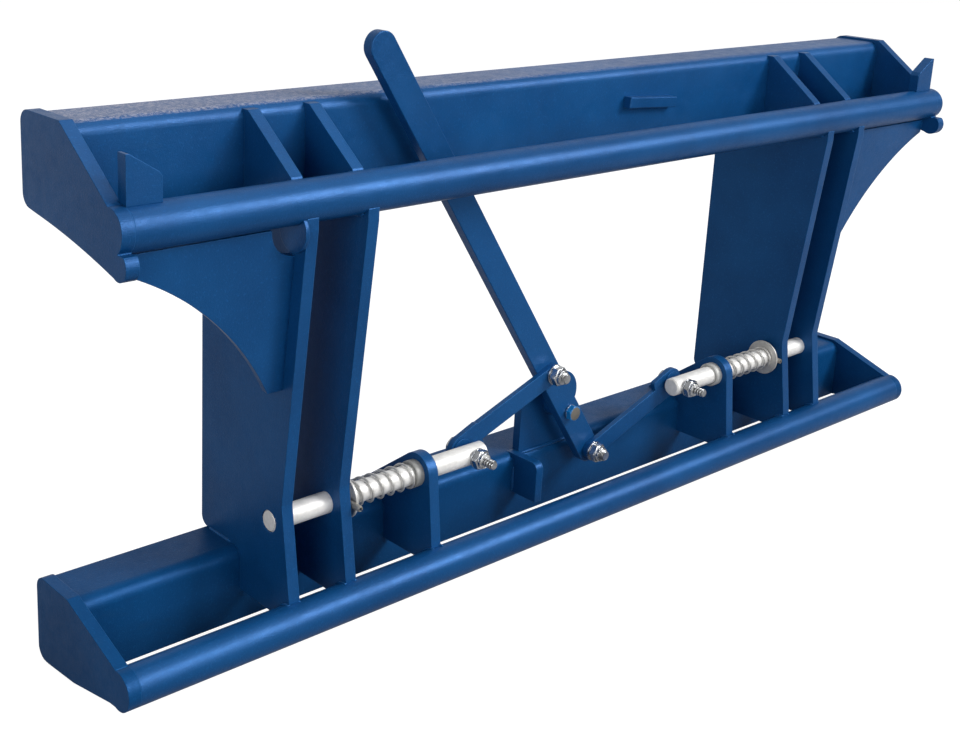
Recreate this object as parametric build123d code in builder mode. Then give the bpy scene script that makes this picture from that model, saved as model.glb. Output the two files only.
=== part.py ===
from build123d import *
import math
import os

# Front loader quick-hitch carriage. Millimetres.
# X runs along the hook tube, -Y is the implement side, +Z is up.
# The origin is the middle of the hook tube.

os.makedirs("parts", exist_ok=True)

# Tubes
hook_r = 19.0
lower_r = 18.0
lower_y = -2.0
lower_z = -394.0

# Plate stock
plate_t = 12.0
beam_t = 8.0
bend_r = 12.0

# Folded beams: the flange lies on top, the web hangs at its front
rear_y = 142.0
flange_rear_y = 133.0
web_y = 77.0
upper_top_z = 69.5
lower_top_z = -351.0
beam_height = 74.8

# Side plates, outer and inner pair on each side
outer_x = 424.0
inner_x = 358.0
front_top = (-15.5, -23.0)
front_bend = (12.8, -284.0)
front_foot = (-1.0, -373.0)
rib_top_y = 72.0
rib_top_z = 66.5
rib_foot = (8.6, 19.2)
rear_round = 10.0
bend_round = 14.0
nose_round = 4.0

# End plates
end_x = 600.0
end_over = 3.0
end_corner_r = 12.0
end_slope_y = 76.0
end_low_z = -8.0
end_heel = (122.0, -11.0)
end_belly = (60.0, -20.5)
lower_slope_y = 84.0
lower_rear_y = 140.0
lower_end_drop = 36.0
lower_heel_y = 122.0
lower_belly_y = 75.0
lower_belly_rise = 4.5
lobe_y = -12.0
lobe_z = -25.0
lobe_r = 12.2
notch = 16.0

# End stops on the hook tube
stop_out_x = 588.0
stop_in_x = 556.0
stop_y = -5.0
stop_top_z = 59.0
stop_low_z = 43.0

# Lock pins and what guides them
pin_y = 32.0
pin_z = -305.0
pin_r = 10.5
pin_inner_x = 154.5
pin_chamfer = 1.6
run_gap = 0.08
guide_x = 246.0
guide_r = 20.5
bush_r = 13.8
bush_stand = 9.0
spring_washer_x = 338.0
spring_washer_t = 2.5
spring_washer_r = 21.0
roll_pin_x = 341.2
roll_pin_r = 3.0
roll_pin_stand = 13.0
spring_mean_r = 13.3
spring_wire_r = 1.1
spring_turns = 6.5

# Lever, links and their bolts
lever_angle = 34.65
lever_w = 30.0
lever_t = 12.0
lever_y = 50.7
lever_reach = 511.0
crank_r = 66.0
hump_at = 31.0
hump_r = 26.0
link_t = 6.0
link_y = 44.3
link_w = 21.0
eye_r = 16.0
cross_x = 171.0
slot_half = 4.0
slot_shift = 1.2
slot_play = 1.5
tab_len = 29.0
tab_round = 3.0
bolt_r = 6.0
cross_r = 5.0
pivot_r = 5.0
nut_af = 19.0
cross_af = 19.0
pivot_af = 16.0
link_washer_r = 11.2
pivot_washer_r = 8.6
bolt_over = 5.0
cross_over = 13.0

# Bracket that carries the lever pivot
bracket_y = 80.0
bracket_t = 10.0
bracket_left = -47.0
bracket_right = 38.0
bracket_top_z = -284.0
bracket_sink = 6.0
bracket_reach = 60.0

# Small welded pieces
catch_x = 120.0
catch_z = 29.5
catch_w = 80.0
catch_h = 12.0
catch_d = 10.0
catch_tilt = -3.7
rib_x = -57.0
rib_t = 10.0
rib_front_y = 42.0
rib_low_z = -396.0
gusset_t = 8.0
gusset_lean = 6.3
gusset_top = 29.5
gusset_low = -123.0
gusset_tip = 13.0
gusset_mid = (-510.5, -34.9)
gusset_foot_x = -440.0
boss_r = 19.0
boss_len = 3.5
boss_z = -24.0
relief_r = 26.0


def save(part, label):
    part.label = label
    export_step(part, f"parts/{label}.step")


def beam_section(top_z):
    """Cross-section of a folded beam: sketch x is Y, sketch y is Z."""
    low_z = top_z - beam_height
    width = flange_rear_y - web_y
    with BuildSketch() as section:
        with Locations((web_y, low_z)):
            Rectangle(width, beam_height, align=(Align.MIN, Align.MIN))
        fillet(section.vertices().group_by(Axis.Y)[-1].sort_by(Axis.X)[0], bend_r)
        with BuildSketch(mode=Mode.PRIVATE) as hollow:
            with Locations((web_y + beam_t, low_z)):
                Rectangle(width, beam_height - beam_t, align=(Align.MIN, Align.MIN))
            fillet(hollow.vertices().group_by(Axis.Y)[-1].sort_by(Axis.X)[0], bend_r - beam_t)
        add(hollow.sketch, mode=Mode.SUBTRACT)
    return section.sketch


upper_section = beam_section(upper_top_z)
lower_section = beam_section(lower_top_z)
beam_len = 2 * (end_x - plate_t)
for beam_name, section in (("upper_beam", upper_section), ("lower_beam", lower_section)):
    with BuildPart() as beam:
        with BuildSketch(Plane.YZ.offset(-beam_len / 2)):
            add(section)
        extrude(amount=beam_len)
    save(beam.part, beam_name)

# Hook tube and lower tube, solid round bar between the end plates
for tube_name, tube_r, tube_y, tube_z in (
    ("hook_tube", hook_r, 0.0, 0.0),
    ("lower_tube", lower_r, lower_y, lower_z),
):
    with BuildPart() as tube:
        with BuildSketch(Plane.YZ.offset(-beam_len / 2)):
            with Locations((tube_y, tube_z)):
                Circle(tube_r)
        extrude(amount=beam_len)
    save(tube.part, tube_name)


def mirrored(part, side):
    """A left-hand piece as it is, or its mirror image for the right."""
    if side == "left":
        return part
    return mirror(part, about=Plane.YZ)


# Upper end plates
with BuildPart() as upper_end:
    with BuildSketch(Plane.YZ.offset(-end_x)):
        with BuildLine():
            top_z = upper_top_z + end_over
            Polyline(
                (lobe_y, lobe_z - lobe_r),
                (lobe_y - 1, 0),
                (4.0, 20.3),
                (end_slope_y, top_z),
                (rear_y, top_z),
                (rear_y, end_low_z),
                end_heel,
            )
            ThreePointArc(end_heel, end_belly, (lobe_y, lobe_z - lobe_r))
        make_face()
        with Locations((lobe_y, lobe_z)):
            Circle(lobe_r)
        with Locations((lobe_y - notch / 2, -notch / 2)):
            Rectangle(notch, notch, mode=Mode.SUBTRACT)
        Circle(hook_r)
    extrude(amount=plate_t)
    rear_edges = upper_end.edges().filter_by(Axis.X).group_by(Axis.Y)[-1]
    fillet(rear_edges, end_corner_r)

# Lower end plates
with BuildPart() as lower_end:
    with BuildSketch(Plane.YZ.offset(-end_x)):
        with BuildLine():
            top_z = lower_top_z + end_over
            low_z = lower_z - lower_end_drop
            Polyline(
                (lower_y + 4.0, lower_z + lower_r),
                (lower_slope_y, top_z),
                (lower_rear_y, top_z),
                (lower_rear_y, low_z),
                (lower_heel_y, low_z),
                (lower_belly_y, low_z + lower_belly_rise),
                (lower_y + 14.0, lower_z - lower_r),
                (lower_y, lower_z - lower_r + 1),
                (lower_y, lower_z),
                close=True,
            )
        make_face()
        with Locations((lower_y, lower_z)):
            Circle(lower_r)
    extrude(amount=plate_t)
    rear_edges = lower_end.edges().filter_by(Axis.X).group_by(Axis.Y)[-1]
    fillet(rear_edges, end_corner_r)

for side in ("left", "right"):
    save(mirrored(upper_end.part, side), f"upper_end_plate_{side}")
    save(mirrored(lower_end.part, side), f"lower_end_plate_{side}")


def side_plate(face_x):
    """One full-height side plate, with its outer face at -face_x."""
    with BuildPart() as plate:
        with BuildSketch(Plane.YZ.offset(-face_x)) as outline:
            with BuildLine():
                Polyline(
                    front_top,
                    front_bend,
                    front_foot,
                    (lower_y, lower_z),
                    (web_y + beam_t, lower_z),
                    (web_y + beam_t, lower_top_z),
                    (rear_y, lower_top_z),
                    (rear_y, upper_top_z - beam_t),
                    (web_y + bend_r, upper_top_z - beam_t),
                    (web_y + beam_t - 3.0, rib_top_z),
                    (rib_top_y, rib_top_z),
                    rib_foot,
                    (0, 0),
                    (front_top[0], -8.0),
                    close=True,
                )
            make_face()
            fillet(outline.vertices().group_by(Axis.X)[-1], rear_round)
            fillet(outline.vertices().sort_by_distance(front_bend)[0], bend_round)
            fillet(outline.vertices().sort_by_distance(front_top)[0], nose_round)
            Circle(hook_r, mode=Mode.SUBTRACT)
            with Locations((lower_y, lower_z)):
                Circle(lower_r, mode=Mode.SUBTRACT)
            add(upper_section, mode=Mode.SUBTRACT)
            add(lower_section, mode=Mode.SUBTRACT)
            with Locations((pin_y, pin_z)):
                Circle(pin_r + run_gap, mode=Mode.SUBTRACT)
        extrude(amount=plate_t)
    return plate.part


outer_plate = side_plate(outer_x)
inner_plate = side_plate(inner_x)
for side in ("left", "right"):
    save(mirrored(outer_plate, side), f"outer_side_plate_{side}")
    save(mirrored(inner_plate, side), f"inner_side_plate_{side}")

# Gussets under the hook tube, leaning back like the side plates' front edges
gusset_y = 1.5
gusset_plane = Plane(
    origin=(0, gusset_y, -50.0), x_dir=(1, 0, 0), z_dir=(0, -math.cos(math.radians(gusset_lean)),
                                                          -math.sin(math.radians(gusset_lean)))
)
with BuildPart() as gusset:
    with BuildSketch(gusset_plane):
        with BuildLine():
            Polyline(
                (gusset_foot_x, gusset_low),
                (-outer_x, gusset_low),
                (-outer_x, gusset_top),
                (-(end_x - plate_t), gusset_top),
                (-(end_x - plate_t), gusset_tip),
            )
            ThreePointArc((-(end_x - plate_t), gusset_tip), gusset_mid, (gusset_foot_x, gusset_low))
        make_face()
    extrude(amount=-gusset_t)
save(mirrored(gusset.part, "right"), "gusset_right")

# The left gusset is cut away around the boss under the tube
with BuildPart() as left_gusset:
    add(gusset.part)
    with BuildSketch(gusset_plane):
        with Locations((-outer_x, gusset_top)):
            Circle(relief_r)
    extrude(amount=-2 * gusset_t, both=True, mode=Mode.SUBTRACT)
save(left_gusset.part, "gusset_left")

# Hook guides: upright plates on the hook tube near its ends
with BuildPart() as stop:
    with BuildSketch(Plane.XZ.offset(-stop_y)):
        with BuildLine():
            Polyline(
                (-stop_out_x, 0),
                (-stop_out_x, stop_top_z),
                (-stop_out_x + 3.0, stop_top_z),
                (-stop_in_x - 3.0, stop_low_z),
                (-stop_in_x, stop_low_z - 4.0),
                (-stop_in_x, 0),
                close=True,
            )
        make_face()
    extrude(amount=-plate_t)
    with Locations(Location((0, 0, 0), (0, 90, 0))):
        Cylinder(hook_r, 2 * beam_len, mode=Mode.SUBTRACT)
save(stop.part, "hook_guide_left")
save(mirrored(stop.part, "right"), "hook_guide_right")

# Short round boss under the hook tube, on the left outer plate
with BuildPart() as boss:
    with BuildSketch(Plane.YZ.offset(-outer_x)):
        with Locations((0, boss_z)):
            Circle(boss_r)
        Circle(hook_r, mode=Mode.SUBTRACT)
    extrude(amount=-boss_len)
save(boss.part, "tube_boss")

# Pin guide brackets in the lower beam
slope_rear = (web_y + 49.0, lower_top_z)


def guide_bracket():
    """Upright plate with a round head that the lock pin's bush runs through."""
    tangent = math.radians(57.0)
    with BuildPart() as bracket:
        with BuildSketch(Plane.YZ.offset(-guide_x)):
            with BuildLine():
                Polyline(
                    (pin_y - guide_r, pin_z),
                    (lower_y + 4.0, lower_z + lower_r / 2),
                    (lower_y, lower_z),
                    (web_y + beam_t, lower_z),
                    (web_y + beam_t, lower_top_z),
                    slope_rear,
                    (pin_y + guide_r * math.cos(tangent), pin_z + guide_r * math.sin(tangent)),
                    (pin_y, pin_z + 4.0),
                    close=True,
                )
            make_face()
            with Locations((pin_y, pin_z)):
                Circle(guide_r)
            with Locations((lower_y, lower_z)):
                Circle(lower_r, mode=Mode.SUBTRACT)
            add(lower_section, mode=Mode.SUBTRACT)
            with Locations((pin_y, pin_z)):
                Circle(bush_r, mode=Mode.SUBTRACT)
        extrude(amount=plate_t)
    return bracket.part


guide = guide_bracket()
for side in ("left", "right"):
    save(mirrored(guide, side), f"pin_guide_{side}")

# Bushes welded through the guides, both standing out to the left
for side, bush_left in (("left", -guide_x - bush_stand), ("right", guide_x - plate_t - bush_stand)):
    with BuildPart() as bush:
        with BuildSketch(Plane.YZ.offset(bush_left)):
            with Locations((pin_y, pin_z)):
                Circle(bush_r)
                Circle(pin_r + run_gap, mode=Mode.SUBTRACT)
        extrude(amount=plate_t + bush_stand)
        chamfer(bush.faces().sort_by(Axis.X)[0].edges(), 0.8)
    save(bush.part, f"guide_bush_{side}")

# Bracket for the lever pivot, standing on the lower flange
with BuildPart() as bracket:
    with BuildSketch(Plane.XZ.offset(-bracket_y)):
        with BuildLine():
            Polyline(
                (bracket_left, lower_top_z - bracket_sink),
                (bracket_left, bracket_top_z),
                (bracket_right, bracket_top_z),
                (bracket_right, lower_top_z - bracket_sink),
                close=True,
            )
        make_face()
        with Locations((0, pin_z)):
            Circle(pivot_r, mode=Mode.SUBTRACT)
    extrude(amount=-bracket_t)
    top_edges = bracket.edges().filter_by(Axis.Y).group_by(Axis.Z)[-1]
    fillet(top_edges, 12.0)
    with BuildSketch(Plane.YZ.offset(-bracket_reach)):
        add(lower_section)
    extrude(amount=2 * bracket_reach, mode=Mode.SUBTRACT)
save(bracket.part, "pivot_bracket")

# Spacer tube between the lever and its bracket
lever_back = lever_y + lever_t
with BuildPart() as spacer:
    with BuildSketch(Plane.XZ.offset(-lever_back - 0.3)):
        with Locations((0, pin_z)):
            Circle(11.0)
            Circle(pivot_r, mode=Mode.SUBTRACT)
    extrude(amount=-(bracket_y - lever_back - 0.3))
save(spacer.part, "pivot_spacer")

# Lever catch on the upper web, and the stop rib on the lower web
with BuildPart() as catch:
    with Locations(Location((catch_x, web_y - catch_d / 2, catch_z), (0, -catch_tilt, 0))):
        Box(catch_w, catch_d, catch_h)
    chamfer(catch.faces().sort_by(Axis.Y)[0].edges(), 0.8)
save(catch.part, "lever_catch")

with BuildPart() as rib:
    with BuildSketch(Plane.YZ.offset(rib_x)):
        with BuildLine():
            Polyline(
                (web_y + bend_r, lower_top_z),
                (rib_front_y, lower_top_z),
                (rib_front_y, rib_low_z),
                (web_y, rib_low_z),
                (web_y, lower_top_z - bend_r),
                close=True,
            )
        make_face()
        add(lower_section, mode=Mode.SUBTRACT)
    extrude(amount=rib_t)
    fillet(rib.edges().filter_by(Axis.X).group_by(Axis.Y)[0].group_by(Axis.Z)[-1], 8.0)
save(rib.part, "lever_stop_rib")


def along_lever(distance, aside=0.0):
    """A point of the lever's own plane: distance up from the pivot, aside to the right."""
    a = math.radians(lever_angle)
    x = -distance * math.sin(a) + aside * math.cos(a)
    z = distance * math.cos(a) + aside * math.sin(a)
    return (x, pin_z + z)


with BuildPart() as lever:
    with BuildSketch(Plane.XZ.offset(-lever_y)):
        top_end = along_lever(lever_reach)
        low_end = along_lever(-crank_r)
        mid = ((top_end[0] + low_end[0]) / 2, (top_end[1] + low_end[1]) / 2)
        with Locations(Location((mid[0], mid[1], 0), (0, 0, lever_angle))):
            SlotOverall(lever_reach + crank_r + lever_w, lever_w, rotation=90)
        with Locations(along_lever(hump_at)):
            Circle(hump_r)
        with Locations(Location((*along_lever(hump_at, -lever_w), 0), (0, 0, lever_angle))):
            Rectangle(lever_w, 4 * hump_r, mode=Mode.SUBTRACT)
        with Locations(along_lever(crank_r), along_lever(-crank_r)):
            Circle(bolt_r + run_gap, mode=Mode.SUBTRACT)
        with Locations((0, pin_z)):
            Circle(pivot_r + run_gap, mode=Mode.SUBTRACT)
    extrude(amount=-lever_t)
    flat_faces = lever.faces().filter_by(Plane.XZ)
    chamfer(flat_faces.edges().filter_by(GeomType.LINE), 0.6)
save(lever.part, "lever")


def link(side):
    """Flat bar from the lever to a lock pin, with a slotted eye at the pin."""
    s = -1 if side == "left" else 1
    near = along_lever(-s * crank_r)
    far = (s * cross_x, pin_z)
    length = math.dist(near, far)
    along = ((near[0] - far[0]) / length, (near[1] - far[1]) / length)
    aside = (along[1], -along[0])
    offset = eye_r - link_w / 2
    foot = (far[0] - aside[0] * offset, far[1] - aside[1] * offset)
    mid = ((near[0] + foot[0]) / 2, (near[1] + foot[1]) / 2)
    turn = math.degrees(math.atan2(near[1] - foot[1], near[0] - foot[0]))
    tab_mid = (far[0] + along[0] * tab_len / 2, far[1] + along[1] * tab_len / 2)
    tab_turn = math.degrees(math.atan2(along[1], along[0]))
    with BuildSketch() as tab:
        with Locations((-tab_len / 4, 0)):
            Rectangle(1.5 * tab_len, 2 * eye_r)
        fillet(tab.vertices().group_by(Axis.X)[-1], tab_round)
        with Locations((-tab_len / 2, 0)):
            Circle(eye_r)
        with Locations((-tab_len / 2 - 2 * eye_r, 0)):
            Rectangle(4 * eye_r, 2 * eye_r, mode=Mode.SUBTRACT)
        with Locations((-tab_len / 2, 0)):
            Circle(eye_r)
    with BuildPart() as bar:
        with BuildSketch(Plane.XZ.offset(-link_y)):
            with Locations(Location((*mid, 0), (0, 0, turn))):
                SlotCenterToCenter(math.dist(near, foot), link_w)
            with Locations(Location((*tab_mid, 0), (0, 0, tab_turn))):
                add(tab.sketch)
            with Locations(near):
                Circle(bolt_r + run_gap, mode=Mode.SUBTRACT)
            with Locations((far[0], far[1] + s * slot_shift)):
                SlotCenterToCenter(
                    2 * slot_half, 2 * (cross_r + slot_play), rotation=90, mode=Mode.SUBTRACT
                )
        extrude(amount=-link_t)
    return bar.part


for side in ("left", "right"):
    save(link(side), f"link_{side}")


def hexagon_prism(x, z, y_from, thickness, across_flats):
    """A hexagon nut or head with its axis along Y, grown towards +Y."""
    with BuildPart() as prism:
        with BuildSketch(Plane.XZ.offset(-y_from)):
            with Locations((x, z)):
                RegularPolygon(across_flats / math.sqrt(3), 6)
        extrude(amount=-thickness)
    return prism.part


def bolt(x, z, y_head, shank_len, r, across_flats, head_front):
    """A hexagon bolt along Y. The head's bearing face lies at y_head."""
    head_t = 0.62 * 2 * r
    if head_front:
        head = hexagon_prism(x, z, y_head - head_t, head_t, across_flats)
        start = y_head
    else:
        head = hexagon_prism(x, z, y_head, head_t, across_flats)
        start = y_head - shank_len
    with BuildPart() as whole:
        add(head)
        with BuildSketch(Plane.XZ.offset(-start)):
            with Locations((x, z)):
                Circle(r)
        extrude(amount=-shank_len)
    return whole.part


def nut(x, z, y_from, r, across_flats, collar_front):
    """A lock nut along Y with a round collar on its free side."""
    height = 2 * r
    body = 0.7 * height
    with BuildPart() as whole:
        first = y_from + (height - body if collar_front else 0)
        add(hexagon_prism(x, z, first, body, across_flats))
        with BuildSketch(Plane.XZ.offset(-(y_from if collar_front else y_from + body))):
            with Locations((x, z)):
                Circle(0.43 * across_flats)
        extrude(amount=-(height - body))
        with BuildSketch(Plane.XZ.offset(-y_from)):
            with Locations((x, z)):
                Circle(r)
        extrude(amount=-height, mode=Mode.SUBTRACT)
    return whole.part


def washer(x, z, y_from, r_in, r_out, thickness):
    """A flat washer with its axis along Y."""
    with BuildPart() as ring:
        with BuildSketch(Plane.XZ.offset(-y_from)):
            with Locations((x, z)):
                Circle(r_out)
                Circle(r_in, mode=Mode.SUBTRACT)
        extrude(amount=-thickness)
    return ring.part


# Pivot bolt: head in front of the lever, nut behind the bracket
washer_t = 2.0
front_gap = 0.3
pivot_seat = lever_y - front_gap - washer_t
pivot_len = bracket_y + bracket_t + 2 * pivot_r + bolt_over - pivot_seat
save(bolt(0, pin_z, pivot_seat, pivot_len, pivot_r, pivot_af, True), "pivot_bolt")
save(washer(0, pin_z, pivot_seat, pivot_r, pivot_washer_r, washer_t), "pivot_washer")
save(nut(0, pin_z, bracket_y + bracket_t, pivot_r, pivot_af, False), "pivot_nut")

# Link bolts: head behind the lever, nut in front of the link
for bolt_name, s in (("left", 1), ("right", -1)):
    x, z = along_lever(s * crank_r)
    front = link_y - front_gap
    shank = lever_back - (front - washer_t - 2 * bolt_r - bolt_over)
    save(bolt(x, z, lever_back, shank, bolt_r, nut_af, False), f"link_bolt_{bolt_name}")
    save(washer(x, z, front - washer_t, bolt_r, link_washer_r, washer_t), f"link_washer_{bolt_name}")
    save(nut(x, z, front - washer_t - 2 * bolt_r, bolt_r, nut_af, True), f"link_nut_{bolt_name}")

# Lock pins with their cross bolts, roll pins, washers and springs
for side, s in (("left", -1), ("right", 1)):
    length = outer_x - pin_inner_x
    with BuildPart() as pin:
        with BuildSketch(Plane.YZ.offset(s * pin_inner_x)):
            with Locations((pin_y, pin_z)):
                Circle(pin_r)
        extrude(amount=s * length)
        chamfer(pin.edges().filter_by(GeomType.CIRCLE), pin_chamfer)
        with BuildSketch(Plane.XZ.offset(-(pin_y - pin_r - 2))):
            with Locations((s * cross_x, pin_z)):
                Circle(cross_r)
            with Locations((s * roll_pin_x, pin_z)):
                Circle(roll_pin_r)
        extrude(amount=-(2 * pin_r + 4), mode=Mode.SUBTRACT)
    save(pin.part, f"lock_pin_{side}")

    front = pin_y - pin_r
    behind = link_y + link_t + front_gap
    shank = behind + washer_t - (front - washer_t - 2 * cross_r - cross_over)
    save(
        bolt(s * cross_x, pin_z, behind + washer_t, shank, cross_r, cross_af, False),
        f"cross_bolt_{side}",
    )
    with BuildPart() as rings:
        add(washer(s * cross_x, pin_z, front - washer_t, cross_r, 9.5, washer_t))
        add(washer(s * cross_x, pin_z, behind, cross_r, 14.5, washer_t))
    save(rings.part, f"cross_washers_{side}")
    save(
        nut(s * cross_x, pin_z, front - washer_t - 2 * cross_r, cross_r, cross_af, True),
        f"cross_nut_{side}",
    )

    with BuildPart() as roll:
        with BuildSketch(Plane.XZ.offset(-(front - roll_pin_stand))):
            with Locations((s * roll_pin_x, pin_z)):
                Circle(roll_pin_r)
                Circle(roll_pin_r - 1.2, mode=Mode.SUBTRACT)
        extrude(amount=-(2 * pin_r + 2 * roll_pin_stand))
    save(roll.part, f"roll_pin_{side}")

    washer_out = s * spring_washer_x
    with BuildPart() as disc:
        with BuildSketch(Plane.YZ.offset(washer_out)):
            with Locations((pin_y, pin_z)):
                Circle(spring_washer_r)
                Circle(pin_r, mode=Mode.SUBTRACT)
        extrude(amount=-s * spring_washer_t)
        chamfer(disc.faces().sort_by(Axis.X)[0 if s < 0 else -1].edges().sort_by(SortBy.LENGTH)[-1], 0.5)
    save(disc.part, f"spring_washer_{side}")

    spring_out = spring_washer_x - spring_washer_t
    spring_in = guide_x + (bush_stand if side == "left" else 0.0)
    room = spring_out - spring_in - 2 * spring_wire_r
    pitch = room / spring_turns
    start = (s * (spring_in + spring_wire_r), pin_y, pin_z)
    with BuildPart() as spring:
        with BuildLine() as path:
            Helix(pitch=pitch, height=room, radius=spring_mean_r, center=start, direction=(s, 0, 0))
        with BuildSketch(Plane(origin=path.line @ 0, z_dir=path.line % 0)):
            RegularPolygon(spring_wire_r, 6)
        sweep(is_frenet=True)
    save(spring.part, f"spring_{side}")
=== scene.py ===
import bpy
import math
import random
from mathutils import Matrix, Vector


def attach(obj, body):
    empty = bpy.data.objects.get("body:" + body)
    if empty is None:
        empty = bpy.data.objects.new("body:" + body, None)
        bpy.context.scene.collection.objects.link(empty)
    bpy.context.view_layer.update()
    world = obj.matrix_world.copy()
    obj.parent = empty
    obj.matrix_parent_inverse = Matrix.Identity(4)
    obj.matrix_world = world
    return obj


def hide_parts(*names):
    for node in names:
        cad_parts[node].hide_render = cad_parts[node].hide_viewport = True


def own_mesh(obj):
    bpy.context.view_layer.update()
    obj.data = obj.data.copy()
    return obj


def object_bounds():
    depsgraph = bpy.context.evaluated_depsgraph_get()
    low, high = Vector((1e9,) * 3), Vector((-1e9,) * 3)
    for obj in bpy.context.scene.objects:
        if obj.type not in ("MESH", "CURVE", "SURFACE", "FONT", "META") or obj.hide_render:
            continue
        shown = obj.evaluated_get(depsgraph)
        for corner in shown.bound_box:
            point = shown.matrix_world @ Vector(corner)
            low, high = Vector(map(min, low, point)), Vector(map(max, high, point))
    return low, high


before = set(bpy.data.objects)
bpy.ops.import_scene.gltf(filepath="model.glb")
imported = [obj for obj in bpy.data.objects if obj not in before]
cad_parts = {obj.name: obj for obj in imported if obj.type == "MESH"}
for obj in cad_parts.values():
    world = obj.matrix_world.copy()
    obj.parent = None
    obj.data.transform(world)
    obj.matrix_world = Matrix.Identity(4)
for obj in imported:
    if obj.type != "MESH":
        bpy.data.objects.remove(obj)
cad_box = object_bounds()
MM = 0.001
random.seed(7)

# Camera, solved from the photograph's edges
CAMERA_AT = (-1.10863, -0.90464, 0.27940)
CAMERA_RIGHT = (0.757390, -0.651790, 0.039122)
CAMERA_DOWN = (-0.147447, -0.229088, -0.962173)
CAMERA_FORWARD = (0.636098, 0.722972, -0.269614)
FOCAL_PX = 1397.86
CENTRE_PX = (395.1, 249.6)
FRAME_PX = (960, 739)
SENSOR_WIDTH = 36.0

# Sizes that the pieces below share with the solids, in millimetres
PIN_Y, PIN_Z, PIN_R = 32.0, -305.0, 10.5
PIN_FRONT, PIN_BACK = PIN_Y - PIN_R, PIN_Y + PIN_R
LEVER_ANGLE = math.radians(34.65)
CRANK_R = 66.0
LEVER_Y, LEVER_T = 50.7, 12.0
LINK_Y, LINK_T = 44.3, 6.0
PLAY = 0.3
LINK_BACK = LINK_Y + LINK_T + PLAY
CROSS_X = 171.0
GUIDE_X, BUSH_STAND, GUIDE_T = 246.0, 9.0, 12.0
HOOK_R, LOWER_R = 19.0, 18.0
LOWER_Y, LOWER_Z = -2.0, -394.0
WEB_Y, PLATE_T, BEAM_T = 77.0, 12.0, 8.0
UPPER_TOP, LOWER_TOP = 69.5, -351.0
OUTER_X, INNER_X = 424.0, 358.0
BRACKET_Y, BRACKET_T = 80.0, 10.0
BRACKET_LEFT, BRACKET_RIGHT = -47.0, 38.0
RIB_X, RIB_T = -57.0, 10.0

# Bolts, nuts and washers. A tip is the length that stands out of the nut. A head's thickness is a share
# of the thread's radius, and a collar's radius is a share of the width across flats
BOLT_R, CROSS_R, PIVOT_R = 6.0, 5.0, 5.0
BOLT_TIP, CROSS_TIP, PIVOT_TIP = 5.0, 13.0, 5.0
BOLT_PITCH, CROSS_PITCH = 2.0, 3.5
NUT_FLATS, PIVOT_FLATS = 19.0, 16.0
HEAD_SHARE, COLLAR_SHARE = 1.24, 0.43
WASHER_T = 2.0
NUT_WASHER_R, HEAD_WASHER_R, LINK_WASHER_R = 10.4, 14.5, 12.6
LINK_WASHER_T, LINK_WASHER_GAP = 1.1, 0.15

# Threads: depth as a share of the pitch, and its limit. The flat crest, the flank and the place where
# the groove's painted shade starts are shares of half a pitch
THREAD_SHARE, THREAD_MOST = 0.61, 1.25
CREST, FLANK, GROOVE_SHADE_FROM = 0.12, 0.76, 0.62
RINGS_PER_PITCH = 10

# Springs and roll pins
WIRE_R, COIL_R = 1.25, 12.6
COIL_TURNS, CLOSED_TURNS = 6.6, 0.35
SPRING_OUT = 335.5
ROLL_PIN_X, ROLL_PIN_R, ROLL_PIN_BORE = 341.2, 3.0, 1.8
ROLL_PIN_STAND, ROLL_PIN_STAND_LEFT = 13.0, 20.5

# Welds: the bead's radius, the step between its rings, the length of a ripple, arcs round the bars in
# degrees, heights where upright runs start and end, and depths where runs along the flanges do
WELD_R, WELD_STEP, RIPPLE = 2.0, 1.1, 3.3
HOOK_ARC, LOWER_ARC, GUIDE_ARC = (62, -118), (88, 12), (84, 14)
WEB_RUN, RIB_RUN = (-4, 56), (-366, -394)
FLANGE_RUN_Y, UPPER_END_Y, LOWER_END_Y, GUIDE_END_Y = 92, 130, 128, 122
BRACKET_INSET = 3


class Graph:
    """Short calls that add nodes to one tree and link them."""

    def __init__(self, tree):
        self.tree = tree

    def add(self, kind, links=None, **values):
        node = self.tree.nodes.new(kind)
        for key, value in values.items():
            setattr(node, key, value)
        for socket, source in (links or {}).items():
            self.feed(node.inputs[socket], source)
        return node

    def feed(self, socket, source):
        if isinstance(source, bpy.types.NodeSocket):
            self.tree.links.new(source, socket)
        else:
            socket.default_value = source

    def span(self, value, low, high, to_low=0.0, to_high=1.0, ease="LINEAR"):
        """Carries the stretch from low to high over to the stretch from to_low to to_high."""
        links = {"Value": value, "From Min": low, "From Max": high, "To Min": to_low, "To Max": to_high}
        return self.add("ShaderNodeMapRange", links, interpolation_type=ease).outputs["Result"]

    def math(self, kind, a, b):
        return self.add("ShaderNodeMath", {0: a, 1: b}, operation=kind).outputs[0]

    def dot(self, a, b):
        return self.add("ShaderNodeVectorMath", {0: a, 1: b}, operation="DOT_PRODUCT").outputs["Value"]

    def axis(self, vector, letter):
        return self.add("ShaderNodeSeparateXYZ", {0: vector}).outputs[letter]


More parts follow.
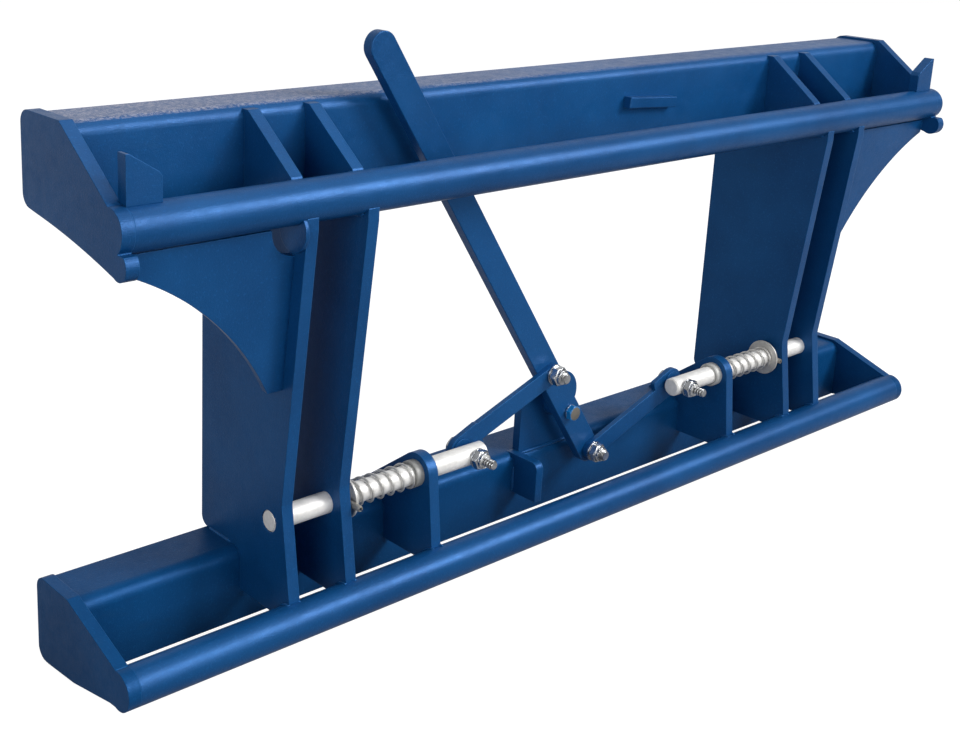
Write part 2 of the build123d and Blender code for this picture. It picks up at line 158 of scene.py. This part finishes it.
class Surface(Graph):
    """A new material's nodes, placed by the object's own coordinates."""

    def __init__(self, name):
        self.material = bpy.data.materials.new(name)
        self.material.use_nodes = True
        super().__init__(self.material.node_tree)
        self.shader = self.tree.nodes["Principled BSDF"]
        self.place = self.add("ShaderNodeTexCoord").outputs["Object"]

    def noise(self, scale, detail=2.0, rough=0.5, stretch=None):
        place = self.place
        if stretch:
            place = self.add("ShaderNodeMapping", {"Vector": place, "Scale": stretch}).outputs["Vector"]
        links = {"Vector": place, "Scale": scale, "Detail": detail, "Roughness": rough}
        return self.add("ShaderNodeTexNoise", links).outputs["Fac"]

    def mix(self, share, a, b):
        return self.add("ShaderNodeMix", {0: share, 6: a, 7: b}, data_type="RGBA").outputs[2]

    def bump(self, height, strength, distance, under=None):
        links = {"Height": height, "Strength": strength, "Distance": distance}
        if under is not None:
            links["Normal"] = under
        return self.add("ShaderNodeBump", links).outputs["Normal"]

    def rounded(self, radius):
        return self.add("ShaderNodeBevel", {"Radius": radius}, samples=6).outputs["Normal"]

    def true_normal(self):
        return self.add("ShaderNodeNewGeometry").outputs["True Normal"]

    def edges(self, rounded_normal):
        """1 on an edge and 0 on a flat: where the rounded normal leaves the true one."""
        return self.span(self.dot(rounded_normal, self.true_normal()), 0.995, 0.80)

    def finish(self, **sockets):
        names = {
            "colour": "Base Color", "rough": "Roughness", "normal": "Normal",
            "metal": "Metallic", "specular": "Specular IOR Level",
        }
        for key, source in sockets.items():
            self.feed(self.shader.inputs[names[key]], source)
        return self.material


PAINT = (0.0027, 0.055, 0.182, 1.0)
PAINT_LIGHT = (0.0048, 0.075, 0.235, 1.0)
# Lighter blue of the painted edge highlight, which the specks take too
PAINTED_EDGE_HIGHLIGHT = (0.012, 0.130, 0.37, 1.0)
PRIMER = (0.018, 0.060, 0.120, 1.0)
# Pale grey of the painted sheen on faces that look up
PAINTED_SHEEN = (0.50, 0.49, 0.55, 1.0)
STAIN = (0.42, 0.415, 0.40, 1.0)
HEAD_PAINT = (0.004, 0.155, 0.42, 1.0)
BARE_HEAD = (0.20, 0.185, 0.16, 1.0)
NYLON_DARK, NYLON_LIGHT = (0.55, 0.56, 0.56, 1.0), (0.72, 0.72, 0.70, 1.0)


def toned(colour, tone):
    red, green, blue, _ = colour
    return (tone * red, tone * green, tone * blue, 1.0)


def painted_top_sheen(n):
    """Painted sheen: a fine pale grain on faces that look up, densest at the left end, which paints in their
    bright reflection at a grazing angle.
    """
    upward = n.span(n.axis(n.true_normal(), "Z"), 0.80, 0.97)
    density = n.span(n.axis(n.place, "X"), -0.60, 0.30, 1.0, 0.20)
    grain = n.span(n.noise(310.0, 4.0, 0.9), 0.44, 0.56, 0.0, 0.72)
    return n.math("MULTIPLY", n.math("MULTIPLY", upward, density), grain)


def cut_marks(n, normal):
    """Fine lines on the faces that don't look along X, such as the side plates' cut edges."""
    across = n.noise(1.0, 2.0, 0.5, (12.0, 820.0, 820.0))
    sideways = n.math("ABSOLUTE", n.axis(n.true_normal(), "X"), 0.0)
    on_edges = n.span(sideways, 0.2, 0.5, 1.0, 0.0)
    return n.bump(n.math("MULTIPLY", across, on_edges), 0.20, 0.0004, normal)


def paint_material(name, cut_edges=False, peel=1.0, specular=0.26, metal=0.33, tone=1.0, painted_sheen_top=False):
    """Blue powder coat: faint orange peel, uneven depth of colour, a painted highlight on the edges, and
    where asked a painted sheen on faces that look up.
    """
    n = Surface(name)
    highlight_blue = toned(PAINTED_EDGE_HIGHLIGHT, tone)
    cloudy = n.span(n.noise(7.0, 4.0, 0.6), 0.35, 0.65)
    colour = n.mix(cloudy, toned(PAINT, tone), toned(PAINT_LIGHT, tone))
    # Painted highlight on the edges: a lighter blue where the rounded normal leaves the true one, broken up
    # by noise
    soft = n.rounded(0.0011)
    broken = n.span(n.noise(55.0, 5.0, 0.65), 0.45, 0.68)
    edge_highlight = n.math("MULTIPLY", n.edges(soft), n.math("MULTIPLY_ADD", broken, 0.5))
    colour = n.mix(edge_highlight, colour, highlight_blue)
    specks = n.span(n.noise(420.0, 3.0, 0.7), 0.56, 0.70)
    colour = n.mix(n.math("MULTIPLY", specks, 0.34), colour, highlight_blue)
    rubbed = n.span(n.noise(18.0, 8.0, 0.72, (1.0, 1.0, 2.2)), 0.60, 0.74)
    colour = n.mix(n.math("MULTIPLY", rubbed, 0.16), colour, PRIMER)
    rough = n.span(n.noise(75.0, 6.0, 0.75), 0.34, 0.66, 0.28, 0.44)
    # Painted sheen on faces that look up: pale grey, with less metal and more roughness where it lies
    if painted_sheen_top:
        sheen = painted_top_sheen(n)
        colour = n.mix(sheen, colour, PAINTED_SHEEN)
        metal = n.span(sheen, 0.0, 0.6, metal, 0.0)
        rough = n.math("ADD", rough, n.math("MULTIPLY", sheen, 0.6))
    rough = n.math("ADD", rough, n.math("MULTIPLY", rubbed, 0.09))
    normal = n.bump(n.noise(260.0, 2.0, 0.5), 0.12 * peel, 0.0006, soft)
    normal = n.bump(n.noise(700.0, 3.0, 0.75), 0.40 * peel, 0.0006, normal)
    if cut_edges:
        normal = cut_marks(n, normal)
    return n.finish(colour=colour, rough=rough, normal=normal, metal=metal, specular=specular)


def zinc_material(name, light, dark, rough, metal, turned=None, soft_edge=0.0006):
    """Zinc plating: cloudy grey, fine satin grain, and turning marks where the piece was turned."""
    n = Surface(name)
    cloudy = n.span(n.noise(140.0, 5.0, 0.6), 0.32, 0.68)
    colour = n.mix(cloudy, (*dark, 1.0), (*light, 1.0))
    stain = n.span(n.noise(45.0, 6.0, 0.7), 0.58, 0.75)
    colour = n.mix(n.math("MULTIPLY", stain, 0.35), colour, STAIN)
    satin = n.span(n.noise(260.0, 4.0, 0.6), 0.3, 0.7, *rough)
    normal = n.bump(n.noise(1700.0, 3.0, 0.6), 0.08, 0.0002, n.rounded(soft_edge))
    if turned:
        normal = n.bump(n.noise(1.0, 3.0, 0.6, turned), 0.10, 0.0002, normal)
    return n.finish(colour=colour, rough=satin, normal=normal, metal=metal)


def nylon_material():
    """The white locking ring inside a nut's collar."""
    n = Surface("nylon")
    colour = n.mix(n.noise(300.0, 3.0), NYLON_DARK, NYLON_LIGHT)
    return n.finish(colour=colour, rough=0.5, normal=n.bump(n.noise(900.0), 0.1, 0.0002))


def worn_head_material(name, bare_from, bare_to):
    """A bolt head that was painted with its frame: bright blue where paint is left, brown-grey where bare."""
    n = Surface(name)
    patchy = n.span(n.noise(210.0, 5.0, 0.7), bare_from, bare_to)
    colour = n.mix(patchy, HEAD_PAINT, BARE_HEAD)
    metal = n.math("MULTIPLY", patchy, 0.6)
    normal = n.bump(n.noise(700.0, 3.0), 0.15, 0.0003, n.rounded(0.0005))
    return n.finish(colour=colour, rough=0.40, normal=normal, metal=metal)


# Stretch of the turning marks along a pin, and the edge radius of threads
TURNING_MARKS = (2200.0, 25.0, 25.0)
SHARP = 0.0001

BLUE = paint_material("blue_paint")
# A darker copy of the blue paint for the lower beam and lower end plates: painted shade, with less gloss
BLUE_LOW_SHADED = paint_material("blue_paint_low_painted_shade", specular=0.1, metal=0.22, tone=0.86)
BLUE_PLATE = paint_material("blue_paint_plate", cut_edges=True)
BLUE_WELD = paint_material("blue_paint_weld", peel=0.6)
# The upper beam's paint carries the painted sheen on its top
BLUE_TOP = paint_material("blue_paint_upper_beam", peel=1.1, specular=0.22, metal=0.25, painted_sheen_top=True)
ZINC = zinc_material("zinc", (0.64, 0.66, 0.69), (0.42, 0.435, 0.46), (0.16, 0.28), 1.0)
PIN_ZINC = zinc_material(
    "pin_zinc", (0.84, 0.83, 0.81), (0.70, 0.69, 0.67), (0.42, 0.55), 0.25, turned=TURNING_MARKS
)
SPRING = zinc_material("spring_zinc", (0.72, 0.71, 0.69), (0.50, 0.49, 0.47), (0.30, 0.42), 0.7)
THREAD = zinc_material(
    "thread_zinc", (0.62, 0.63, 0.64), (0.38, 0.385, 0.39), (0.26, 0.38), 1.0, soft_edge=SHARP
)
# Near-black zinc for the faces deep in a thread's groove: painted shade
GROOVE_SHADE = zinc_material(
    "groove_painted_shade", (0.13, 0.127, 0.12), (0.07, 0.068, 0.064), (0.40, 0.55), 0.6, soft_edge=SHARP
)
WASHER = zinc_material("washer_zinc", (0.62, 0.61, 0.59), (0.47, 0.465, 0.45), (0.34, 0.48), 0.5)
BUSH = zinc_material("bush_zinc", (0.54, 0.54, 0.52), (0.40, 0.40, 0.385), (0.42, 0.58), 0.3)
# A darker copy of the bush's zinc for the left guide's bush: painted shade
BUSH_SHADED = zinc_material("bush_zinc_painted_shade", (0.34, 0.34, 0.33), (0.23, 0.23, 0.22), (0.45, 0.60), 0.3)
DULL = zinc_material("dull_steel", (0.44, 0.42, 0.38), (0.27, 0.26, 0.235), (0.36, 0.50), 0.6)
NYLON = nylon_material()
BLUE_HEAD = worn_head_material("blue_bolt_head", 0.62, 0.70)
WORN_FACE = worn_head_material("worn_bolt_face", 0.26, 0.36)

# Looks of the solids, by how a node's name starts. The first that fits is taken
LOOKS = (
    ("lock_pin", PIN_ZINC),
    ("spring_washer", WASHER),
    ("spring_", SPRING),
    ("guide_bush_left", BUSH_SHADED),
    ("guide_bush", BUSH),
    (("roll_pin", "cross_"), ZINC),
    (("link_bolt", "link_nut", "link_washer"), ZINC),
    (("pivot_bolt", "pivot_nut", "pivot_washer"), ZINC),
    ("upper_beam", BLUE_TOP),
    (("lower_beam", "lower_end_plate"), BLUE_LOW_SHADED),
    (("upper_end_plate", "outer_side_plate", "inner_side_plate", "gusset", "hook_guide"), BLUE_PLATE),
    (("pin_guide", "pivot_bracket", "lever"), BLUE_PLATE),
    ("", BLUE),
)

for node_name, node_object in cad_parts.items():
    look = next(material for starts, material in LOOKS if node_name.startswith(starts))
    node_object.data.materials.clear()
    node_object.data.materials.append(look)


def mesh_piece(name, vertices, faces, materials, body, face_materials=None, sharp=32.0):
    """A new piece, given in millimetres, that moves with a body. Edges from sharp degrees on stay sharp."""
    mesh = bpy.data.meshes.new(name)
    mesh.from_pydata([tuple(c * MM for c in v) for v in vertices], [], faces)
    for material in materials:
        mesh.materials.append(material)
    if face_materials:
        mesh.polygons.foreach_set("material_index", face_materials)
    mesh.polygons.foreach_set("use_smooth", [True] * len(mesh.polygons))
    mesh.update()
    mesh.set_sharp_from_angle(angle=math.radians(sharp))
    piece = bpy.data.objects.new(name, mesh)
    bpy.context.scene.collection.objects.link(piece)
    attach(piece, body)
    return piece


def tube_walls(rings, around):
    """Faces along a tube whose vertices are listed ring by ring."""
    faces = []
    for a in range(0, (rings - 1) * around, around):
        b = a + around
        for k in range(around):
            j = (k + 1) % around
            faces.append((a + k, a + j, b + j, b + k))
    return faces


class Turned:
    """Vertices, faces and marks of pieces turned about one axis along Y, with hexagon stretches."""

    segments = 72

    def __init__(self, x, z, spin=0.0):
        self.x, self.z, self.spin = x, z, spin
        self.vertices, self.faces, self.marks = [], [], []

    def ring(self, y, radius_of):
        first = len(self.vertices)
        for k in range(self.segments):
            a = 2 * math.pi * k / self.segments
            r = radius_of(a)
            turn = a + self.spin
            self.vertices.append((self.x + r * math.cos(turn), y, self.z + r * math.sin(turn)))
        return first

    def wall(self, a, b, marks):
        """Faces between the rings that start at vertices a and b, with one mark for each face."""
        n = self.segments
        for k in range(n):
            j = (k + 1) % n
            self.faces.append((a + k, a + j, b + j, b + k))
        self.marks += marks

    def cap(self, first, mark, reverse=False):
        """A flat face over the ring that starts at vertex first."""
        corners = [first + k for k in range(self.segments)]
        self.faces.append(tuple(reversed(corners) if reverse else corners))
        self.marks.append(mark)

    def body(self, rows, mark=0, closed=(True, True)):
        """rows: (y, radius), or (y, radius, flats) for a hexagon cut to that radius."""
        firsts = []
        for y, radius, *flats in rows:

            def radius_of(a, r=radius, flats=flats):
                return min(r, hexagon_radius(a, *flats)) if flats else r

            firsts.append(self.ring(y, radius_of))
        for a, b in zip(firsts, firsts[1:]):
            self.wall(a, b, [mark] * self.segments)
        if closed[0]:
            self.cap(firsts[0], mark, reverse=True)
        if closed[1]:
            self.cap(firsts[-1], mark)

    def thread(self, tip, root, r, pitch, mark):
        """A helical thread with a chamfered tip, nearer -Y. Faces deep in its groove have the next mark, for
        the groove's painted shade.
        """
        depth = min(THREAD_SHARE * pitch, THREAD_MOST)
        steps = round((root - tip) / pitch * RINGS_PER_PITCH)

        def wave(y, turn):
            """0 on the crest and 1 at the bottom of the groove."""
            return abs(2 * ((y / pitch - turn) % 1.0) - 1)

        rows = []
        for i in range(steps + 1):
            y = tip + (root - tip) * i / steps

            def radius_of(a, y=y):
                flank = (wave(y, a / (2 * math.pi)) - CREST) / FLANK
                crest = r - depth * max(0.0, min(1.0, flank))
                return min(crest, r - depth + (y - tip) * 0.9)

            rows.append(self.ring(y, radius_of))
        n = self.segments
        for i, (a, b) in enumerate(zip(rows, rows[1:])):
            y = tip + (root - tip) * (i + 0.5) / steps
            waves = [wave(y, (k + 0.5) / n) for k in range(n)]
            self.wall(a, b, [mark + 1 if w > GROOVE_SHADE_FROM else mark for w in waves])
        self.cap(rows[0], mark)
        self.cap(rows[-1], mark)

    def piece(self, name, materials, body):
        return mesh_piece(name, self.vertices, self.faces, materials, body, self.marks)


def hexagon_radius(a, flats):
    """Distance from the centre to a hexagon's side in direction a."""
    return flats / 2 / math.cos((a + math.pi / 6) % (math.pi / 3) - math.pi / 6)


def hexagon_rows(back, front, flats, chamfer_back=True, chamfer_front=True):
    """Rows of a hexagon prism. Each end has the usual 30 degree chamfer or is square."""
    corner = flats / 2 / math.cos(math.pi / 6)
    tip = flats / 2 * 0.95
    drop = (corner - tip) * math.tan(math.radians(30))
    cuts = 5
    chamfer = [(drop * i / cuts, tip + (corner - tip) * i / cuts) for i in range(cuts + 1)]
    square = [(0.0, corner)]
    back_rows = [(back - inset, radius, flats) for inset, radius in (chamfer if chamfer_back else square)]
    front_rows = [(front + inset, radius, flats) for inset, radius in (chamfer if chamfer_front else square)]
    return back_rows + front_rows[::-1]


def along_lever(distance):
    return (-distance * math.sin(LEVER_ANGLE), PIN_Z + distance * math.cos(LEVER_ANGLE))


def dressed_bolt(name, replaced, body, at, seat, root, tip, r, pitch, spin):
    """A bolt: chamfered head behind its seat, plain shank to the thread's root, threaded tip in front."""
    turned = Turned(*at, spin)
    turned.body(hexagon_rows(seat + HEAD_SHARE * r, seat, NUT_FLATS, chamfer_front=False))
    turned.body([(seat + 0.1, r), (root, r)])
    turned.thread(tip, root, r, pitch, 1)
    piece = turned.piece(name, [ZINC, THREAD, GROOVE_SHADE], body)
    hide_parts(replaced)


def dressed_nut(name, replaced, body, at, front, r, spin):
    """Hexagon lock nut whose round collar points forward and holds a locking ring."""
    turned = Turned(*at, spin)
    height = 2 * r
    back = front + height
    shoulder = back - 0.7 * height
    collar_r = COLLAR_SHARE * NUT_FLATS
    turned.body(hexagon_rows(back, shoulder, NUT_FLATS))
    collar = [
        (shoulder + 0.2, collar_r),
        (front + 1.0, collar_r),
        (front + 0.35, collar_r - 0.35),
        (front, collar_r - 1.1),
    ]
    turned.body(collar, 0, closed=(True, False))
    ring = [(front, collar_r - 1.1), (front + 0.5, collar_r - 1.5), (front + 0.9, r - 0.2)]
    turned.body(ring, 1, closed=(False, True))
    piece = turned.piece(name, [ZINC, NYLON], body)
    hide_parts(replaced)


def lever_fasteners(side, s):
    """The bolt and nut that join one link to the lever's crank."""
    at = along_lever(s * CRANK_R)
    seat = LEVER_Y + LEVER_T
    nut_front = LINK_Y - PLAY - WASHER_T - 2 * BOLT_R
    dressed_bolt(
        f"bolt_lever_{side}", f"link_bolt_{side}", "lever", at,
        seat, LINK_Y - 1.0, nut_front - BOLT_TIP, BOLT_R, BOLT_PITCH, 0.3 * s,
    )
    dressed_nut(f"nut_lever_{side}", f"link_nut_{side}", "lever", at, nut_front, BOLT_R, 0.55 * s)


def cross_fasteners(side, s):
    """The bolt and nut that join one link to its lock pin."""
    at = (s * CROSS_X, PIN_Z)
    seat = LINK_BACK + WASHER_T
    nut_front = PIN_FRONT - WASHER_T - 2 * CROSS_R
    dressed_bolt(
        f"bolt_cross_{side}", f"cross_bolt_{side}", f"lock_pin_{side}", at,
        seat, PIN_FRONT, nut_front - CROSS_TIP, CROSS_R, CROSS_PITCH, 0.2,
    )
    dressed_nut(f"nut_cross_{side}", f"cross_nut_{side}", f"lock_pin_{side}", at, nut_front, CROSS_R, 0.4)


def pivot_bolt_piece():
    """The lever's pivot bolt: its head was painted with the frame and is rubbed bare on the face."""
    turned = Turned(0.0, PIN_Z, 0.15)
    seat = LEVER_Y - PLAY - WASHER_T
    tip = BRACKET_Y + BRACKET_T + 2 * PIVOT_R + PIVOT_TIP
    head = hexagon_rows(seat, seat - HEAD_SHARE * PIVOT_R, PIVOT_FLATS, chamfer_back=False)
    turned.body(head, 0, closed=(True, False))
    turned.cap(len(turned.vertices) - turned.segments, 1)
    turned.body([(seat - 0.1, PIVOT_R), (tip - 0.9, PIVOT_R), (tip, PIVOT_R - 0.9)], 2)
    piece = turned.piece("bolt_pivot", [BLUE_HEAD, WORN_FACE, THREAD], "carriage")
    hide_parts("pivot_bolt")


def washer_rows(front, back, r_out, soft=0.35):
    """Rows of a washer on a cross bolt, with soft outer edges."""
    return [
        (front, CROSS_R), (front, r_out - soft), (front + soft, r_out),
        (back - soft, r_out), (back, r_out - soft), (back, CROSS_R),
    ]


def cross_washers_piece(side, s):
    """A cross bolt's washers: under its nut, under its head, and a thin one on the link's front."""
    turned = Turned(s * CROSS_X, PIN_Z)
    turned.body(washer_rows(PIN_FRONT - WASHER_T, PIN_FRONT, NUT_WASHER_R), 0)
    turned.body(washer_rows(LINK_BACK, LINK_BACK + WASHER_T, HEAD_WASHER_R), 1)
    thin_back = LINK_Y - LINK_WASHER_GAP
    turned.body(washer_rows(thin_back - LINK_WASHER_T, thin_back, LINK_WASHER_R, 0.2), 1)
    piece = turned.piece(f"washers_cross_{side}", [ZINC, BLUE], f"lock_pin_{side}")
    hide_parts(f"cross_washers_{side}")


for side, s in (("left", 1), ("right", -1)):
    lever_fasteners(side, s)
for side, s in (("left", -1), ("right", 1)):
    cross_fasteners(side, s)
pivot_bolt_piece()
for side, s in (("left", -1), ("right", 1)):
    cross_washers_piece(side, s)


def spring_piece(side, s, fixed_x, moving_x):
    """Coil spring with closed, ground ends, made at the length between its fixed and its moving end."""
    length = abs(moving_x - fixed_x)
    per_turn, around = 40, 12
    steps = int(COIL_TURNS * per_turn)
    closed_pitch = 2 * WIRE_R * 0.98
    end_gap = 0.15
    open_length = length - 2 * WIRE_R - 2 * CLOSED_TURNS * closed_pitch
    vertices = []
    for i in range(steps + 1):
        t = i / per_turn
        opened = max(0.0, min(1.0, (t - CLOSED_TURNS) / (COIL_TURNS - 2 * CLOSED_TURNS)))
        closed = min(t, CLOSED_TURNS) + max(0.0, t - (COIL_TURNS - CLOSED_TURNS))
        centre = WIRE_R + closed * closed_pitch + opened * open_length
        a = 2 * math.pi * t * s
        for k in range(around):
            b = 2 * math.pi * k / around
            r = COIL_R + WIRE_R * math.cos(b)
            ground = min(max(centre + WIRE_R * math.sin(b), end_gap), length - end_gap)
            vertices.append((fixed_x + s * ground, PIN_Y + r * math.cos(a), PIN_Z + r * math.sin(a)))
    faces = tube_walls(steps + 1, around)
    faces.append(tuple(range(around)))
    faces.append(tuple(steps * around + k for k in range(around)))
    piece = mesh_piece(f"coil_{side}", vertices, faces, [SPRING], "carriage", sharp=60.0)
    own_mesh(piece)
    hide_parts(f"spring_{side}")


spring_piece("left", -1, -(GUIDE_X + BUSH_STAND), -SPRING_OUT)
spring_piece("right", 1, GUIDE_X, SPRING_OUT)


def roll_pin_piece(side, s, stand):
    """Slotted spring pin: rolled sheet with a slit and chamfered ends."""
    x = s * ROLL_PIN_X
    front, back = PIN_FRONT - stand, PIN_BACK + ROLL_PIN_STAND
    slit = math.radians(24)
    start = -math.pi / 2 - 0.7 * s + slit / 2
    steps = 40
    taper, tip_r = 1.2, ROLL_PIN_R - 0.6
    outside = [(front, tip_r), (front + taper, ROLL_PIN_R), (back - taper, ROLL_PIN_R), (back, tip_r)]
    inside = [(y, ROLL_PIN_BORE) for y, _ in outside]
    vertices = []
    for y, r in outside + inside:
        for k in range(steps + 1):
            a = start + (2 * math.pi - slit) * k / steps
            vertices.append((x + r * math.cos(a), y, PIN_Z + r * math.sin(a)))
    n = steps + 1
    shell = len(outside) * n
    faces = []
    for i in range(len(outside) - 1):
        for k in range(steps):
            a, b = i * n + k, (i + 1) * n + k
            faces.append((a, a + 1, b + 1, b))
            faces.append((shell + a, shell + b, shell + b + 1, shell + a + 1))
        for k in (0, steps):
            a, b = i * n + k, (i + 1) * n + k
            faces.append((a, b, shell + b, shell + a))
    for row in (0, len(outside) - 1):
        for k in range(steps):
            a = row * n + k
            faces.append((a, a + 1, shell + a + 1, shell + a))
    piece = mesh_piece(f"slotted_pin_{side}", vertices, faces, [DULL], f"lock_pin_{side}")
    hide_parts(f"roll_pin_{side}")


roll_pin_piece("left", -1, ROLL_PIN_STAND_LEFT)
roll_pin_piece("right", 1, ROLL_PIN_STAND)


def weld_bead(name, points):
    """A run of weld along a line of points: overlapping ripples, uneven width, tapered ends."""
    path = [Vector(points[0])]
    for a, b in zip(points, points[1:]):
        a, b = Vector(a), Vector(b)
        count = max(1, round((b - a).length / WELD_STEP))
        path += [a.lerp(b, i / count) for i in range(1, count + 1)]
    around = 10
    vertices = []
    last = len(path) - 1
    phase = random.random() * 6
    for i, centre in enumerate(path):
        ahead = (path[min(i + 1, last)] - path[max(i - 1, 0)]).normalized()
        side = ahead.orthogonal().normalized()
        up = ahead.cross(side)
        ends = min(1.0, 0.55 + min(i, last - i) * 0.15)
        fine = math.sin(i * WELD_STEP * 2 * math.pi / RIPPLE + phase)
        ripple = 1.0 + 0.10 * fine + 0.06 * math.sin(i * 0.37 + phase)
        r = WELD_R * ends * ripple * random.uniform(0.97, 1.03)
        for k in range(around):
            b = 2 * math.pi * k / around
            vertices.append(tuple(centre + side * (r * math.cos(b)) + up * (r * math.sin(b))))
    faces = tube_walls(len(path), around)
    faces.append(tuple(reversed(range(around))))
    faces.append(tuple(last * around + k for k in range(around)))
    mesh_piece(name, vertices, faces, [BLUE_WELD], "carriage", sharp=80.0)


def arc_points(x, cy, cz, r, start, end):
    """Points on an arc in a YZ plane. Angles in degrees, 0 towards +Y and 90 up."""
    count = max(6, int(abs(end - start) / 6))
    out = []
    for i in range(count + 1):
        a = math.radians(start + (end - start) * i / count)
        out.append((x, cy + r * math.cos(a), cz + r * math.sin(a)))
    return out


def flange_run(x, z, end_y):
    """A straight run under or on a beam's flange, towards the rear."""
    return [(x, FLANGE_RUN_Y, z), (x, end_y, z)]


def side_plate_runs(x):
    """Runs along one face of a side plate: at both bars, both flanges and the upper web."""
    return [
        arc_points(x, 0, 0, HOOK_R, *HOOK_ARC),
        arc_points(x, LOWER_Y, LOWER_Z, LOWER_R, *LOWER_ARC),
        [(x, WEB_Y + BEAM_T, z) for z in WEB_RUN],
        flange_run(x, UPPER_TOP - BEAM_T, UPPER_END_Y),
        flange_run(x, LOWER_TOP, LOWER_END_Y),
    ]


def weld_runs():
    """Every run of weld: at the side plates, the pin guides, the pivot bracket and the stop rib."""
    runs = []
    for s in (-1, 1):
        for face in (OUTER_X, OUTER_X - PLATE_T, INNER_X, INNER_X - PLATE_T):
            runs += side_plate_runs(s * face)
        for face in (GUIDE_X, GUIDE_X - GUIDE_T):
            x = s * face
            runs.append(flange_run(x, LOWER_TOP, GUIDE_END_Y))
            runs.append(arc_points(x, LOWER_Y, LOWER_Z, LOWER_R, *GUIDE_ARC))
    for y, z in ((BRACKET_Y, LOWER_TOP - 3), (BRACKET_Y + BRACKET_T, LOWER_TOP)):
        runs.append([(BRACKET_LEFT + BRACKET_INSET, y, z), (BRACKET_RIGHT - BRACKET_INSET, y, z)])
    for x in (RIB_X, RIB_X + RIB_T):
        runs.append([(x, WEB_Y, z) for z in RIB_RUN])
    return runs


for number, run in enumerate(weld_runs(), 1):
    weld_bead(f"weld_{number:02d}", run)


# Studio, in metres. The bright side lies in one direction. Each glow says where it starts and is full
# that way, and how strong it gets. A lamp has a name, a place, a size, a power and the point it faces
BRIGHT_SIDE = (0.45, 0.89, 0.0)
FLOOR_BRIGHT, SURROUND_BRIGHT = (-1.6, 2.2, 0.55), (0.0, 0.95, 0.42)
FLOOR_HALF, FLOOR_GAP = 40.0, 0.0005
FLOOR_COLOUR, FLOOR_GLOW = (0.20, 0.20, 0.205, 1.0), 0.95
WHITE = (1.0, 1.0, 1.0, 1.0)
SHADE_FROM, SHADE_TO = -0.35, 0.75
SHADE_FRONT, SHADE_BACK = 0.06, 0.44
LAMPS = (
    ("key", (2.6, -2.95, 2.45), 1.7, 190.0, (0, 0, -0.15)),
    ("top", (0.2, -0.2, 2.8), 2.2, 30.0, (0, 0, -0.1)),
    ("left", (-2.6, -1.2, 0.6), 1.4, 30.0, (0, 0, -0.15)),
    ("front", (0.1, -3.3, 0.9), 1.8, 50.0, (0, 0, -0.15)),
)


def seen_share(n, place, low, high, most):
    """1 for camera and transmission rays. Glossy ones meet the bright side behind the object."""
    ray = n.add("ShaderNodeLightPath").outputs
    behind = n.span(n.dot(place, BRIGHT_SIDE), low, high, 0.0, most, "SMOOTHSTEP")
    share = n.math("MULTIPLY", ray["Is Glossy Ray"], behind)
    share = n.math("MAXIMUM", share, ray["Is Camera Ray"])
    return n.math("MAXIMUM", share, ray["Is Transmission Ray"])


def white_floor():
    """Pale floor just under the object, which looks white to the camera."""
    z, half = cad_box[0][2] - FLOOR_GAP, FLOOR_HALF
    corners = [(-half, -half, z), (half, -half, z), (half, half, z), (-half, half, z)]
    mesh = bpy.data.meshes.new("floor")
    mesh.from_pydata(corners, [], [(0, 1, 2, 3)])
    floor = bpy.data.objects.new("floor", mesh)
    bpy.context.scene.collection.objects.link(floor)
    material = bpy.data.materials.new("floor_white")
    material.use_nodes = True
    material.node_tree.nodes.clear()
    n = Graph(material.node_tree)
    place = n.add("ShaderNodeNewGeometry").outputs["Position"]
    diffuse = n.add("ShaderNodeBsdfDiffuse", {"Color": FLOOR_COLOUR}).outputs[0]
    strength = n.math("MULTIPLY", seen_share(n, place, *FLOOR_BRIGHT), FLOOR_GLOW)
    glow = n.add("ShaderNodeEmission", {"Strength": strength}).outputs[0]
    both = n.add("ShaderNodeAddShader", {0: diffuse, 1: glow}).outputs[0]
    n.add("ShaderNodeOutputMaterial", {"Surface": both})
    mesh.materials.append(material)


def white_surround():
    """White to the camera. Its light on the object grows from the front to the back."""
    world = bpy.data.worlds.new("studio")
    bpy.context.scene.world = world
    world.use_nodes = True
    n = Graph(world.node_tree)
    towards = n.add("ShaderNodeTexCoord").outputs["Generated"]
    depth = n.axis(towards, "Y")
    shade = n.span(depth, SHADE_FROM, SHADE_TO, SHADE_FRONT, SHADE_BACK, "SMOOTHSTEP")
    level = n.span(seen_share(n, towards, *SURROUND_BRIGHT), 0.0, 1.0, shade, 1.0)
    background = world.node_tree.nodes["Background"]
    n.feed(background.inputs["Color"], WHITE)
    n.feed(background.inputs["Strength"], level)


def soft_lamp(name, at, size, power, aim):
    lamp = bpy.data.lights.new(name, "AREA")
    lamp.size = size
    lamp.energy = power
    holder = bpy.data.objects.new(name, lamp)
    holder.location = at
    holder.rotation_euler = (Vector(aim) - Vector(at)).to_track_quat("-Z", "Y").to_euler()
    bpy.context.scene.collection.objects.link(holder)


def photo_camera():
    """The photograph's own camera: place, turn, lens and the small offset of its centre."""
    wide, high = FRAME_PX
    data = bpy.data.cameras.new("photo")
    data.sensor_width = SENSOR_WIDTH
    data.lens = SENSOR_WIDTH * FOCAL_PX / wide
    data.shift_x = (wide / 2 - CENTRE_PX[0]) / wide
    data.shift_y = (CENTRE_PX[1] - high / 2) / wide
    data.clip_start = 0.05
    data.clip_end = 100.0
    camera = bpy.data.objects.new("photo", data)
    right, up, back = Vector(CAMERA_RIGHT), -Vector(CAMERA_DOWN), -Vector(CAMERA_FORWARD)
    turn = Matrix((right, up, back)).transposed()
    camera.matrix_world = Matrix.Translation(CAMERA_AT) @ turn.to_4x4()
    bpy.context.scene.collection.objects.link(camera)
    bpy.context.scene.camera = camera


white_floor()
white_surround()
for lamp_values in LAMPS:
    soft_lamp(*lamp_values)
photo_camera()
bpy.context.scene.view_settings.view_transform = "Standard"
